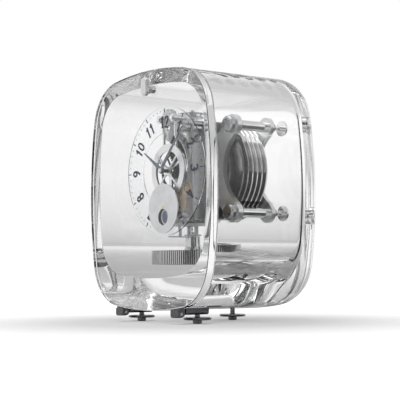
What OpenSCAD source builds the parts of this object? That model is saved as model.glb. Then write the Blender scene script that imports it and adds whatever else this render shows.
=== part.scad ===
// Clock driven by the changes of the air's warmth: a torsion pendulum and a bellows in a crystal case.
// Millimetres. X to the right, Y to the back, Z up. Depths below are counted from the door's front face.

/* [Case] */
// Width of the crystal case
case_w = 211; // [195:1:230]
// Height of the crystal case, without its feet
case_h = 242; // [232:1:260]
// Depth from the door's front face to the back
case_d = 146; // [143:1:165]
// Height of the crystal's underside above the floor
lift = 12; // [11.5:0.1:14]
// How far the sides bow outwards
side_bow = 16.5; // [12:0.5:20]
// How far the top and the bottom bow outwards
top_bow = 14.4; // [10:0.2:18]
// Corner radius of the outline
corner_r = 48.6; // [40:0.2:55]
// Radius of the pillowed rear edge
rear_edge_r = 23.5; // [15:0.5:25]
// Wall beside the cavity
side_wall = 13; // [10:0.5:15]
// Solid crystal under the cavity
floor_wall = 33; // [28:0.5:38]
// Crystal over the cavity
roof_wall = 14.7; // [12:0.1:16]
// Crystal behind the cavity
rear_wall = 15; // [13:0.5:18]
// Corner radius of the cavity
cavity_r = 40; // [32:0.5:45]

/* [Door] */
// Thickness of the door glass
door_t = 8; // [6:0.5:10]
// Gap between door and case
door_gap = 0.4; // [0.3:0.05:0.8]
// How far the knob's axis stands below the top of the case
knob_drop = 18.7; // [18:0.1:20]
// Radius of the knob's shank
shank_r = 4.7; // [3.5:0.1:5]
// How far the knob stands out
knob_out = 4; // [3:0.1:8]
// Width of a hinge shoe and of a foot bracket
shoe_w = 12.5; // [10:0.1:16]
// Radius of a hinge pin
pin_r = 1.5; // [1:0.05:1.8]

/* [Feet] */
// Distance of the front feet from the middle
foot_x = 48; // [42:0.5:54]
// Depth of the front feet
foot_front = 26.7; // [24:0.1:30]
// Distance of the rear foot from the back of the case
foot_rear_in = 36.2; // [31:0.1:46]
// Radius of a foot's disc
foot_r = 14; // [10:0.5:18]
// Radius of a foot's stem
stem_r = 2.5; // [1.8:0.1:3]

/* [Dial] */
// Outer radius of the dial ring
dial_r = 65.9; // [64:0.1:72]
// Radius of the opening in the dial ring
dial_in = 38.5; // [36.6:0.1:40]
// Thickness of the dial ring
dial_t = 1.5; // [1:0.1:2]
// Depth of the dial ring's front face
dial_d = 26.8; // [26.6:0.1:27.2]
// Height of a numeral
numeral_h = 12.5; // [8:0.5:13]
// Radius on which the numerals stand
numeral_c = 50; // [47:0.5:52]
// Length of the minute hand
minute_l = 56.7; // [45:0.1:60]
// Length of the hour hand
hour_l = 36.8; // [30:0.1:42]
// Minute hand, degrees clockwise from twelve
minute_a = 41.5; // [0:0.5:359]
// Hour hand, degrees clockwise from twelve
hour_a = 303.4; // [0:0.1:359]
// Radius of the moon plate
moon_r = 25.15; // [24.5:0.05:27]
// How far the moon plate's centre stands below the hands' axis
moon_drop = 38.4; // [37:0.1:39]
// Radius of the moon aperture
moon_hole_r = 8.25; // [6:0.05:8.5]
// Outer radius of the month ring
month_r = 28; // [26:0.1:30]
// Width of the month ring
month_w = 7.6; // [5:0.1:9]

/* [Movement] */
// Half width of the movement plates
plate_x = 14.3; // [14:0.1:16]
// Thickness of the movement plates
plate_t = 2; // [1.5:0.1:2.5]
// Depth of the front movement plate
front_d = 42; // [42:0.1:43]
// Room between the movement plates
plate_room = 8; // [8:0.1:9]
// How far the movement plates reach below the hands' axis
plate_down = 53; // [52.5:0.5:55.5]
// How far the movement plates reach above the hands' axis
plate_up = 49; // [48.5:0.5:52]
// Radius of the wheel arbors
arbor_r = 1; // [0.7:0.05:1.2]
// Module of the calendar and hour wheels
hour_m = 0.646; // [0.62:0.002:0.66]
// Module of the going train
train_m = 0.5; // [0.46:0.01:0.51]

/* [Torsion pendulum] */
// Distance of the torsion axis behind the middle plate
torsion_gap = 8; // [7.5:0.1:10]
// Outer radius of the balance ring
balance_r = 42.4; // [38:0.1:46]
// Radial width of the balance ring
balance_w = 9; // [6:0.5:12]
// Height of the balance ring
balance_h = 14.2; // [10:0.2:16]
// Distance of the balance ring's lower face below the movement plates
balance_drop = 42.2; // [40:0.1:46]
// Room under the balance ring, as a share with the next number
room_under = 13.3; // [10:0.1:16]
// Room over the suspension post, as a share with the number before
room_over = 21.4; // [18:0.1:25]
// Number of flutes round the ring
flutes = 120; // [60:12:144]
// Radius of the hub's neck at its top
neck_r = 7.65; // [5:0.05:8]
// Radius of the hub
hub_r = 8.8; // [8.2:0.1:9.5]
// Radius of the regulator disc
regulator_r = 12; // [9:0.5:13]

/* [Bellows group] */
// Height of the bellows axis above the hands' axis
bellows_up = 0.8; // [0:0.1:3]
// Distance of the four rods from the bellows axis, along X and along Z
rod_c = 44; // [43.4:0.1:48]
// Radius of a rod
rod_r = 5.2; // [4:0.1:6]
// Radius of a rod's front cap
cap_r = 8.5; // [7:0.1:9.5]
// Distance of the bellows' front plate behind the torsion axis
bplate_gap = 8; // [7:0.1:10]
// Thickness of the bellows plates
bplate_t = 6; // [4:0.5:7]
// Outer radius of the bellows
bellows_r = 51.2; // [44:0.1:53]
// Number of ribs of the bellows
ribs = 6; // [5:1:8]
// Distance of the rear plate's front face from the back wall
rplate_gap = 16.6; // [14:0.1:18]
// Travel of the moving end of the bellows
bellows_travel = 4; // [2:0.5:4]

/* [Hidden] */

silver = [0.82, 0.83, 0.85];
steel = [0.62, 0.63, 0.66];
dark = [0.2, 0.2, 0.22];
gold = [0.85, 0.66, 0.36];
clear = [0.9, 0.94, 0.96, 0.35];
ink = [0.16, 0.2, 0.34];
white = [0.94, 0.94, 0.95];

seat = 0.05;       // face to face pieces of one body
run = 0.05;        // radial clearance of a running fit
free = 0.3;        // clearance between pieces that pass each other
cut = 1;           // how far a cutting shape runs past a face
y0 = -(case_d - knob_out) / 2;
fine = 64;

// Case
case_c = lift + case_h / 2;
case_front = door_t + door_gap;
cavity_lo = lift + floor_wall;
cavity_hi = lift + case_h - roof_wall;
cavity_c = (cavity_lo + cavity_hi) / 2;
cavity_side_bow = side_bow * 2 / 3;
cavity_top_bow = top_bow * 0.7;
cavity_back = case_d - rear_wall;
cavity_back_r = 14;
edge_r = 1;

// Heights and depths that follow from the case and from each other
top_t = 3.5;
regulator_up = 3.5;
post_up = 6;
post_tip = 2.4;
stack_h = balance_drop + plate_down + plate_up + top_t + regulator_up + post_up + post_tip;
balance_z = cavity_lo + (cavity_hi - cavity_lo - stack_h) * room_under / (room_under + room_over);
plate_lo = balance_z + balance_drop;
dial_z = plate_lo + plate_down;
plate_hi = dial_z + plate_up;
moon_z = dial_z - moon_drop;
bellows_z = dial_z + bellows_up;
knob_z = lift + case_h - knob_drop;
foot_rear = case_d - foot_rear_in;
front_back = front_d + plate_t;
back_d = front_back + plate_room;
back_back = back_d + plate_t;
torsion_d = back_back + torsion_gap;
deck_end = torsion_d + 4;
bplate_d = torsion_d + bplate_gap;
rplate_d = cavity_back - rplate_gap;

// Three tangent arcs of a quarter outline, each as centre, radius, first and last angle
function arcs(a, b, sb, tb, r) =
  let (rs = (b * b + sb * sb) / (2 * sb), rt = (a * a + tb * tb) / (2 * tb),
       c1 = [a - rs, 0], c2 = [0, b - rt], d1 = rs - r, d2 = rt - r,
       v = c2 - c1, l = norm(v), q = (d1 * d1 - d2 * d2 + l * l) / (2 * l), h = sqrt(d1 * d1 - q * q),
       e = v / l, n = [-e.y, e.x], c = c1 + q * e + h * n,
       t1 = atan2(c.y - c1.y, c.x - c1.x), t2 = atan2(c.y - c2.y, c.x - c2.x))
  [[c1, rs, 0, t1, 4], [c, r, t1, t2, 10], [c2, rt, t2, 90, 4]];
function quarter(s, d) = [for (g = [0 : 2]) for (i = [0 : s[g][4] - (g < 2 ? 1 : 0)])
  let (t = s[g][2] + (s[g][3] - s[g][2]) * i / s[g][4]) s[g][0] + (s[g][1] - d) * [cos(t), sin(t)]];
function pick(q, x, z, from, to, step) = [for (i = [from : step : to]) [q[i].x * x, q[i].y * z]];
// Whole outline, moved inwards by d
function outline(s, d) = let (q = quarter(s, d), n = len(q) - 1)
  concat(pick(q, 1, 1, 0, n, 1), pick(q, -1, 1, n - 1, 0, -1), pick(q, -1, -1, 1, n, 1),
         pick(q, 1, -1, n - 1, 1, -1));
// Ring of points at a depth, round a centre at height zc
function ring(s, d, depth, zc) = [for (p = outline(s, d)) [p.x, y0 + depth, zc + p.y]];

outer = arcs(case_w / 2, case_h / 2, side_bow, top_bow, corner_r);
inner = arcs(case_w / 2 - side_wall, (cavity_hi - cavity_lo) / 2, cavity_side_bow, cavity_top_bow, cavity_r);

module loft(rings) {
  n = len(rings[0]);
  m = len(rings);
  polyhedron(
    points = [for (r = rings) for (p = r) p],
    faces = concat(
      [[for (i = [n - 1 : -1 : 0]) i]],
      [for (k = [0 : m - 2]) for (i = [0 : n - 1])
        let (a = k * n + i, b = k * n + (i + 1) % n) [a, b, b + n, a + n]],
      [[for (i = [0 : n - 1]) (m - 1) * n + i]]),
    convexity = 4);
}

// Placing helpers: depth a to b along Y, heights along Z, and across X
module ycyl(x, z, a, b, r, f = fine) translate([x, y0 + b, z]) rotate([90, 0, 0]) cylinder(h = b - a, r = r, $fn = f);
module zcyl(x, d, a, b, r, f = fine) translate([x, y0 + d, a]) cylinder(h = b - a, r = r, $fn = f);
module xcyl(d, z, a, b, r, f = fine) translate([a, y0 + d, z]) rotate([0, 90, 0]) cylinder(h = b - a, r = r, $fn = f);
module yext(a, b) translate([0, y0 + b, 0]) rotate([90, 0, 0]) linear_extrude(height = b - a) children();
module xext(a, b) translate([a, y0, 0]) rotate([90, 0, 90]) linear_extrude(height = b - a) children();
module zext(a, b) translate([0, y0, a]) linear_extrude(height = b - a) children();
// Turned about Z at depth d, profile in radius and height
module zturn(x, d) translate([x, y0 + d, 0]) rotate_extrude($fn = fine) children();
// Turned about Y, profile in radius and depth
module yturn(x, z) translate([x, y0, z]) rotate([-90, 0, 0]) rotate_extrude($fn = fine) children();
module box(x, d, z) translate([x[0], y0 + d[0], z[0]]) cube([x[1] - x[0], d[1] - d[0], z[1] - z[0]]);

rod_at = [for (x = [-1, 1]) for (z = [-1, 1]) [x * rod_c, bellows_z + z * rod_c]];

// Crystal case
stud_r = 3;
rear_cap_r = 8;
rear_cap_t = 3.2;
bush_r = 4.5;
bush_top = lift + 10;

module crystal_case() {
  color(clear) difference() {
    loft(concat(
      [ring(outer, edge_r, case_front, case_c), ring(outer, edge_r * 0.3, case_front + edge_r * 0.3, case_c),
       ring(outer, 0, case_front + edge_r, case_c)],
      [for (i = [0 : 7]) let (f = i * 90 / 7)
        ring(outer, rear_edge_r * (1 - cos(f)), case_d - rear_edge_r + rear_edge_r * sin(f), case_c)]));
    loft(concat(
      [ring(inner, 0, case_front - cut, cavity_c)],
      [for (i = [0 : 5]) let (f = i * 90 / 5)
        ring(inner, cavity_back_r * (1 - cos(f)), cavity_back - cavity_back_r + cavity_back_r * sin(f), cavity_c)]));
    for (p = rod_at) {
      ycyl(p.x, p.y, cavity_back - cut, case_d + cut, stud_r + seat);
      ycyl(p.x, p.y, case_d - rear_cap_t, case_d + cut, rear_cap_r + seat);
    }
    zcyl(0, foot_rear, lift - cut, bush_top + seat, bush_r + seat);
  }
}
module rear_foot_bush() color(silver) difference() {
  zcyl(0, foot_rear, lift, bush_top, bush_r);
  zcyl(0, foot_rear, lift - cut, stem_top_rear + 0.5, stem_r + run);
}
module wall_studs() color(silver) for (p = rod_at) union() {
  ycyl(p.x, p.y, nut_back + seat, cavity_back - seat, stud_r - 1.2);
  ycyl(p.x, p.y, cavity_back - cut, case_d - rear_cap_t - seat, stud_r);
}
module rear_caps() color(silver) for (p = rod_at) ycyl(p.x, p.y, case_d - rear_cap_t, case_d, rear_cap_r);

// Feet
nub_h = 3.8;
disc_lo = 3.6;
disc_t = 2.8;
stem_top_front = lift + 1;
stem_top_rear = lift + 6;
module foot(x, d, top) color(silver) zturn(x, d) polygon([[0, 0], [3.6, 0], [4.5, 0.8], [4.5, nub_h - 0.3],
  [foot_r - 1.6, disc_lo + 0.1], [foot_r - 0.4, disc_lo + 0.7], [foot_r, disc_lo + disc_t / 2],
  [foot_r - 0.4, disc_lo + disc_t - 0.7], [foot_r - 1.6, disc_lo + disc_t - 0.1], [stem_r + 1.2, disc_lo + disc_t],
  [stem_r, disc_lo + disc_t + 0.4], [stem_r, top], [0, top]]);
module foot_front_left() foot(-foot_x, foot_front, stem_top_front);
module foot_front_right() foot(foot_x, foot_front, stem_top_front);
module foot_rear_disc() foot(0, foot_rear, stem_top_rear);

// Foot brackets and the door's hinge
hinge_d = 3.2;
hinge_z = lift - 2.1;
eye_r = 3.4;
shoe_back_r = 3.7;
shoe_lo = hinge_z - shoe_back_r;
tongue_w = 4;
bracket_lo = lift - 3;
bracket_end = foot_front + 9.6;
bracket_bar_top = hinge_z + 3.4;
module rounded_bar(lo, hi, r) { // end view, flat on top
  translate([-shoe_w / 2, lo + r]) square([shoe_w, hi - lo - r]);
  translate([-shoe_w / 2 + r, lo]) square([shoe_w - 2 * r, r + 0.01]);
  for (s = [-1, 1]) translate([s * (shoe_w / 2 - r), lo + r]) circle(r = r, $fn = fine);
}
module under_case(a, b) yext(a, b) translate([0, case_c]) polygon(outline(outer, -seat));
module foot_bracket(x) color(silver) difference() {
  union() {
    difference() {
      translate([x, 0, 0]) yext(case_front, bracket_end) rounded_bar(bracket_lo, lift + 8, 3);
      under_case(case_front - cut, bracket_end + cut);
    }
    xcyl(hinge_d, hinge_z, x - tongue_w / 2, x + tongue_w / 2, eye_r);
    box([x - tongue_w / 2, x + tongue_w / 2], [hinge_d, case_front + cut], [bracket_lo, bracket_bar_top]);
  }
  xcyl(hinge_d, hinge_z, x - tongue_w, x + tongue_w, pin_r + seat / 2);
  zcyl(x, foot_front, bracket_lo - cut, stem_top_front + 0.3, stem_r + run);
}
module foot_bracket_left() foot_bracket(-foot_x);
module foot_bracket_right() foot_bracket(foot_x);
module hinge_pins() color(steel) for (s = [-1, 1]) xcyl(hinge_d, hinge_z, s * foot_x - shoe_w / 2 + 0.3,
  s * foot_x + shoe_w / 2 - 0.3, pin_r);
shoe_front = -1.4;
module hinge_shoe(x) color(silver) difference() {
  intersection() {
    translate([x, 0, 0]) yext(shoe_front, hinge_d + shoe_back_r) rounded_bar(shoe_lo, lift + 8, 3);
    xext(x - shoe_w, x + shoe_w) union() {
      translate([shoe_front, shoe_lo]) square([hinge_d - shoe_front, lift + 2 - shoe_lo]);
      translate([seat, hinge_z]) square([hinge_d + shoe_back_r - seat, lift + 8 - hinge_z]);
      translate([hinge_d, hinge_z]) circle(r = shoe_back_r, $fn = fine);
    }
  }
  under_case(-seat, door_t + cut);
  box([x - tongue_w / 2 - free, x + tongue_w / 2 + free], [hinge_d - eye_r - 0.5, case_front + cut],
      [shoe_lo - cut, bracket_bar_top + 0.5]);
  xcyl(hinge_d, hinge_z, x - shoe_w, x + shoe_w, pin_r + run);
}
module hinge_shoe_left() hinge_shoe(-foot_x);
module hinge_shoe_right() hinge_shoe(foot_x);

// Door
knob_w = 9.4;
knob_h = 18.8;
catch_r = cavity_hi - knob_z - 0.2;
module door_glass() color(clear) difference() {
  loft([ring(outer, edge_r, 0, case_c), ring(outer, edge_r * 0.3, edge_r * 0.3, case_c), ring(outer, 0, edge_r, case_c),
    ring(outer, 0, door_t - edge_r, case_c), ring(outer, edge_r * 0.3, door_t - edge_r * 0.3, case_c),
    ring(outer, edge_r, door_t, case_c)]);
  ycyl(0, knob_z, -cut, door_t + cut, shank_r + seat);
}
module stadium(w, h) {
  square([w, h - w], center = true);
  for (s = [-1, 1]) translate([0, s * (h - w) / 2]) circle(r = w / 2, $fn = fine);
}
module door_knob() color(silver) union() {
  yext(-knob_out + 0.7, -seat) translate([0, knob_z + 2.2]) stadium(knob_w, knob_h);
  yext(-knob_out, -knob_out + 0.7) translate([0, knob_z + 2.2]) stadium(knob_w - 1, knob_h - 1);
  ycyl(0, knob_z, -1, door_t, shank_r);
}
module door_catch() color(silver) ycyl(0, knob_z, case_front + free, case_front + free + 5, catch_r);

// Bellows group
module bellows_plate_shape(lobe) translate([0, bellows_z]) {
  difference() {
    square(2 * rod_c + 11, center = true);
    for (k = [0 : 3]) rotate(k * 90) translate([rod_c * 1.59, 0]) circle(r = rod_c * 0.91, $fn = fine);
  }
  for (p = rod_at) translate([p.x, p.y - bellows_z]) circle(r = lobe, $fn = fine);
}
spigot_r = 3;
front_lobe = 10.5;
rear_lobe = 10;
rplate_t = 4.6;
nut_t = 6;
rplate_back = rplate_d + rplate_t;
nut_back = rplate_back + seat + nut_t;
bplate_back = bplate_d + bplate_t;
pull_r = 2;
module bellows_front_plate() color(steel) difference() {
  yext(bplate_d, bplate_back) bellows_plate_shape(front_lobe);
  for (p = rod_at) ycyl(p.x, p.y, bplate_d - cut, bplate_back + cut, spigot_r + seat);
  ycyl(0, bellows_z, bplate_d - cut, bplate_back + cut, pull_r + run);
}
module bellows_rear_plate() color(steel) difference() {
  yext(rplate_d, rplate_back) bellows_plate_shape(rear_lobe);
  for (p = rod_at) ycyl(p.x, p.y, rplate_d - cut, rplate_back + cut, spigot_r + seat);
}
cap_t = 7;
module frame_rods() color(silver) for (p = rod_at) union() {
  ycyl(p.x, p.y, bplate_back + seat, rplate_d - seat, rod_r);
  ycyl(p.x, p.y, bplate_d - cap_t * 0.7, nut_back, spigot_r);
}
module frame_caps() color(silver) for (p = rod_at) difference() {
  yturn(p.x, p.y) polygon([[0, bplate_d - cap_t], [cap_r - 2.2, bplate_d - cap_t],
    for (a = [0 : 15 : 90]) [cap_r - 2.2 + 2.2 * sin(a), bplate_d - cap_t + 0.3 + 2.2 * (1 - cos(a))],
    [cap_r, bplate_d - seat], [0, bplate_d - seat]]);
  ycyl(p.x, p.y, bplate_d - cap_t * 0.75, bplate_d + cut, spigot_r + seat);
  for (a = [90, 210, 330])
    ycyl(p.x + cap_r * 0.5 * cos(a), p.y + cap_r * 0.5 * sin(a), bplate_d - cap_t - cut, bplate_d - cap_t + 1.6, 1.1);
}
collar_t = 3.6;
module frame_collars() color(silver) for (p = rod_at) difference() {
  yturn(p.x, p.y) polygon([[0, bplate_back + seat], [8, bplate_back + seat], [8, bplate_back + collar_t - 1.4],
    [6.8, bplate_back + collar_t], [0, bplate_back + collar_t]]);
  ycyl(p.x, p.y, bplate_back - cut, bplate_back + collar_t + cut, rod_r + seat);
}
module frame_nuts() color(silver) for (p = rod_at) difference() {
  union() {
    ycyl(p.x, p.y, rplate_back + seat, nut_back - 2.4, rod_r + 1);
    ycyl(p.x, p.y, nut_back - 2.5, nut_back, rod_r - 0.4);
  }
  ycyl(p.x, p.y, rplate_back - cut, nut_back + cut, spigot_r + seat);
}
end_t = 2.4;
bellows_a = bplate_back + 0.5;
bellows_b = rplate_d - 0.5;
neck_len = 0.6;
bellows_wall = 4.3;
cover_hub = 33.2;
cover_groove = 4.5;
rib_p = (bellows_b - bellows_a - neck_len) / ribs;
rib_depth = 9;
bellows_in = bellows_r - rib_depth - bellows_wall;
function rib_profile() = concat([[pull_r + 1, bellows_a + 2.5], [cover_hub - 6, bellows_a + 2.5],
  [cover_hub - 4.5, bellows_a], [cover_hub - 1.2, bellows_a], [cover_hub, bellows_a + 1.2],
  [cover_hub, bellows_a + cover_groove], [bellows_r - rib_depth - 2, bellows_a + cover_groove]],
  [for (i = [0 : ribs - 1]) let (c = bellows_a + neck_len + (i + 0.5) * rib_p, k = bellows_r, g = rib_p / 2)
    each [[k - rib_depth, c - g], [k - 1.6, c - 0.9], [k - 0.4, c - 0.75], [k, c], [k - 0.4, c + 0.75], [k - 1.6, c + 0.9]]],
  [[bellows_r - rib_depth, bellows_b], [bellows_in, bellows_b], [bellows_in, bellows_a + cover_groove + 2],
   [pull_r + 1, bellows_a + cover_groove + 2]]);
module bellows() color(silver) yturn(0, bellows_z) polygon(rib_profile());
module bellows_end() color(steel) union() {
  ycyl(0, bellows_z, bellows_b - end_t, bellows_b, bellows_in - free);
  ycyl(0, bellows_z, bplate_d - 1.5, bellows_b - 1, pull_r);
}

// Movement plates
bottom_t = 3;
pillar_r = 2.2;
pillar_pin = 1.2;
pillar_end = deck_end + plate_t;
bar_x = 3.5;
bar_hi = plate_hi - 6.5;
bar_lo = plate_lo + 7.5;
pillar_at = [for (x = [-1, 1]) for (z = [plate_lo + 3.2, plate_hi - 3.2]) [x * (plate_x - 3.8), z]];
spacer_at = [for (x = [-1, 1]) for (z = [dial_z - 25, dial_z + 24]) [x * 9, z]];
spacer_r = 3;

// Going train, placed by its tooth counts
centre_n = 60;
third_pinion_n = 20;
third_n = 32;
escape_pinion_n = 24;
barrel_n = 64;
barrel_pinion_n = 16;
escape_teeth = 15;
escape_drop = 30;
escape_z = dial_z - escape_drop;
pallet_z = escape_z - 11;
cd1 = train_m * (centre_n + third_pinion_n) / 2;
cd2 = train_m * (third_n + escape_pinion_n) / 2;
third_fall = (cd1 * cd1 - cd2 * cd2 + escape_drop * escape_drop) / (2 * escape_drop);
third_x = sqrt(cd1 * cd1 - third_fall * third_fall);
third_z = dial_z - third_fall;
barrel_z = dial_z + train_m * (barrel_n + barrel_pinion_n) / 2;
third_a = atan2(-third_fall, third_x);
escape_a = atan2(escape_z - third_z, -third_x);
function mate(theta, ph, na, nb) = theta + 180 - 180 / nb + (theta - ph) * na / nb;

// Motion work
cannon_n = 15;
motion_n = 36;
motion_pinion_n = 12;
hour_n = 60;
calendar_n = 40;
cd3 = hour_m * (hour_n + motion_pinion_n) / 2;
cannon_m = 2 * cd3 / (cannon_n + motion_n);
motion_a = 75;
motion_x = cd3 * cos(motion_a);
motion_z = dial_z + cd3 * sin(motion_a);
cd4 = hour_m * (hour_n + calendar_n) / 2;
calendar_a = -71.4;
calendar_x = cd4 * cos(calendar_a);
calendar_z = dial_z + cd4 * sin(calendar_a);
hour_ph = mate(motion_a + 180, 0, motion_pinion_n, hour_n);

// Layers of the dial side, as depths
hand_t = 0.9;
minute_d = 21;
hour_d = 22.7;
moon_d = dial_d - 2.5;
moon_t = 1.2;
disc_d = moon_d + moon_t + 0.35;
disc_thick = 0.5;
moon_disc_r = 21.2;
month_d = 30.4;
month_t = 1;
arm_d = 33.8;
strut_r = 1.5;
wheel_d = 36.6;
wheel_t = 0.8;
cannon_d = 39.4;
motion_d = 39.8;
pipe_in = arbor_r + run;
pipe_out = 1.9;
month_hub_r = 4.5;

module gear(n, m, ph = 0) polygon([for (i = [0 : n - 1]) for (q = [[-1.2, -0.25], [0, -0.18], [0.8, -0.09],
  [0.8, 0.09], [0, 0.18], [-1.2, 0.25]]) let (a = ph + (i + q[1]) * 360 / n, r = (n / 2 + q[0]) * m)
  r * [cos(a), sin(a)]]);
// Spoked wheel blank: rim, hub and arms cut from a toothed disc
module wheel2d(n, m, ph, hub, rim, arms, arm_w) difference() {
  gear(n, m, ph);
  difference() {
    circle(r = (n / 2 - 1.2) * m - rim, $fn = fine);
    circle(r = hub, $fn = fine);
    for (k = [0 : arms - 1]) rotate(ph + k * 360 / arms) translate([0, -arm_w / 2]) square([n * m, arm_w]);
  }
}
module ywheel(x, z, a, b) yext(a, b) translate([x, z]) children();

bored_z = [dial_z, barrel_z, escape_z, pallet_z];
module lug(x, z, r, w) {
  translate([x, z]) circle(r = r, $fn = fine);
  translate([min(0, x), z - w / 2]) square([abs(x), w]);
}
module movement_front_plate() color(steel) difference() {
  yext(front_d, front_back) union() {
    translate([-bar_x, plate_lo + seat]) square([2 * bar_x, plate_hi - plate_lo - 2 * seat]);
    translate([-plate_x, bar_hi]) square([2 * plate_x, plate_hi - seat - bar_hi]);
    translate([-plate_x, plate_lo + seat]) square([2 * plate_x, bar_lo - plate_lo - seat]);
    lug(-7.5, plate_hi - 11.5, 7, 6);
    lug(third_x, third_z, 3.6, 3.4);
    lug(motion_x, motion_z, 3.4, 3);
    lug(calendar_x, calendar_z, 3.3, 3);
  }
  for (z = bored_z) ycyl(0, z, front_d - cut, front_back + cut, arbor_r + run);
  ycyl(third_x, third_z, front_d - cut, front_back + cut, arbor_r + run);
  ycyl(motion_x, motion_z, front_d - cut, front_back + cut, arbor_r + seat);
  ycyl(calendar_x, calendar_z, front_d - cut, front_back + cut, arbor_r + seat);
  for (p = concat(pillar_at, post_lo_at)) ycyl(p.x, p.y, front_d - cut, front_back + cut, pillar_pin + seat);
}
module tower_plate(a) difference() {
  box([-plate_x, plate_x], [a, a + plate_t], [plate_lo + seat, plate_hi - seat]);
  for (p = pillar_at) ycyl(p.x, p.y, a - cut, a + plate_t + cut, pillar_pin + seat);
  box([6 - plate_x, plate_x - 6], [a - cut, a + plate_t + cut], [plate_hi - 18, plate_hi - 8]);
}
module movement_back_plate() color(steel) {
  difference() {
    tower_plate(back_d);
    for (z = bored_z) ycyl(0, z, back_d - cut, back_back + cut, arbor_r + run);
    ycyl(third_x, third_z, back_d - cut, back_back + cut, arbor_r + run);
  }
  difference() {
    tower_plate(deck_end);
    ycyl(0, bellows_z, deck_end - cut, pillar_end + cut, pull_r + 1);
  }
}
module movement_top_plate() color(steel) difference() {
  box([-plate_x, plate_x], [front_d - 2, pillar_end + 1.5], [plate_hi, plate_hi + top_t]);
  zcyl(0, torsion_d, plate_hi - cut, plate_hi + top_t + cut, 1.5);
  for (x = post_x) ycyl(x, post_z, front_d - cut * 3, post_end + free, post_r + seat);
  for (s = [-1, 1]) box([s * plate_x - 2.2, s * plate_x + 2.2], [post_end + 3, deck_end + 1], [plate_hi + 1, plate_hi + 2.4]);
}
module movement_bottom_plate() color(steel) difference() {
  box([-plate_x, plate_x], [front_d, pillar_end], [plate_lo - bottom_t, plate_lo]);
  box([-4.5, 4.5], [torsion_d - 5, torsion_d + 2], [plate_lo - bottom_t - cut, plate_lo + cut]);
  zcyl(0, lock_d, plate_lo - bottom_t - cut, plate_lo - 1, 1.6 + seat);
}
module plate_pillars() color(silver) for (p = pillar_at) union() {
  ycyl(p.x, p.y, front_back + seat, back_d - seat, pillar_r);
  ycyl(p.x, p.y, back_back + seat, deck_end - seat, pillar_r);
  ycyl(p.x, p.y, front_d, pillar_end, pillar_pin);
}
module plate_screws() color(silver) for (p = pillar_at) {
  ycyl(p.x, p.y, front_d - 1, front_d - seat, pillar_r);
  ycyl(p.x, p.y, pillar_end + seat, pillar_end + 1, pillar_r);
}
module spacer_posts() color(silver) for (p = spacer_at) ycyl(p.x, p.y, pillar_end + seat, bplate_d - seat, spacer_r);

// Dial, posts and bridge
post_x = [-11.5, 11.5];
post_z = plate_hi + 4.5;
post_r = 3.75;
post_end = front_d + 8;
post_lo_at = [[-4.7, plate_lo + 4.9], [4.7, plate_lo + 4.9]];
dial_back = dial_d + dial_t;
screw_r = 1.5;
bridge_t = 2.4;
bridge_r = 13;
bridge_lo = plate_hi + 0.5;
bridge_d = arm_d - 1.2;
moon_axis_z = dial_z - 35.5;
peg_r = 0.8;
peg_at = [[-12, moon_z - 19.6], [12, moon_z - 19.6], [-19, moon_z - 12.1], [19, moon_z - 12.1]];
module dial_posts() color(silver) union() {
  for (x = post_x) ycyl(x, post_z, dial_back + seat, post_end, post_r);
  for (p = post_lo_at) union() {
    ycyl(p.x, p.y, dial_back + seat, front_d - seat, 2);
    ycyl(p.x, p.y, dial_back + 3, front_back, pillar_pin);
  }
}
module dial_screws() color(silver) union() {
  for (x = post_x) union() {
    ycyl(x, post_z, dial_d - 0.6, dial_d - seat, 2.3);
    ycyl(x, post_z, dial_d - 0.3, dial_back, screw_r);
  }
}
module dial_ring() color(clear) difference() {
  ycyl(0, dial_z, dial_d, dial_back, dial_r, 128);
  ycyl(0, dial_z, dial_d - cut, dial_back + cut, dial_in, 128);
  for (x = post_x) ycyl(x, post_z, dial_d - cut, dial_back + cut, screw_r + seat);
  for (p = peg_at) ycyl(p.x, p.y, dial_d - cut, dial_back + cut, peg_r + seat);
}
module bridge_plate() color(steel) difference() {
  yext(bridge_d, bridge_d + bridge_t) union() {
    translate([-bridge_r, bridge_lo]) square([2 * bridge_r, 2]);
    difference() {
      translate([0, bridge_lo + 1.4]) circle(r = bridge_r, $fn = fine);
      translate([-2 * bridge_r, bridge_lo - 2 * bridge_r]) square([4 * bridge_r, 2 * bridge_r]);
    }
  }
  for (x = post_x) ycyl(x, post_z, bridge_d - cut, bridge_d + bridge_t + cut, post_r + seat);
}
// Carrier behind the month ring, hung from the bridge by two struts
strut_x = 10.6;
carrier_r = 27.3;
carrier_in = 23;
carrier_t = 1.6;
moon_boss_r = 3;
module centre_arm() color(silver) difference() {
  union() {
    for (s = [-1, 1]) zcyl(s * strut_x, arm_d, dial_z + 22.5, bridge_lo - seat, strut_r);
    yext(arm_d - carrier_t / 2, arm_d + carrier_t / 2) union() {
      translate([0, dial_z]) {
        difference() {
          circle(r = carrier_r, $fn = 96);
          circle(r = carrier_in, $fn = 96);
        }
        circle(r = month_hub_r, $fn = fine);
        for (k = [0 : 2]) rotate(30 + k * 120) translate([0, -1.3]) square([carrier_in + 1, 2.6]);
      }
      translate([-2, moon_axis_z]) square([4, dial_z - carrier_in - 1 - moon_axis_z]);
      translate([0, moon_axis_z]) circle(r = moon_boss_r, $fn = fine);
    }
  }
  ycyl(0, dial_z, arm_d - 5, arm_d + 5, pipe_out + run);
  ycyl(0, moon_axis_z, arm_d - 5, arm_d + 5, arbor_r + run);
}

// Raised marks of the dial
mark_t = 0.3;
mark_a = dial_d - seat - mark_t;
mark_b = dial_d - seat;
module minute_track() color(ink) yext(mark_a, mark_b) translate([0, dial_z]) for (i = [0 : 59])
  if (abs(i - 30) > 3.5) rotate(-i * 6) if (i % 5 == 0) translate([-0.4, dial_r - 5.9]) square([0.8, 4]);
    else translate([0, dial_r - 4.4]) circle(r = 0.42, $fn = 8);

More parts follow.
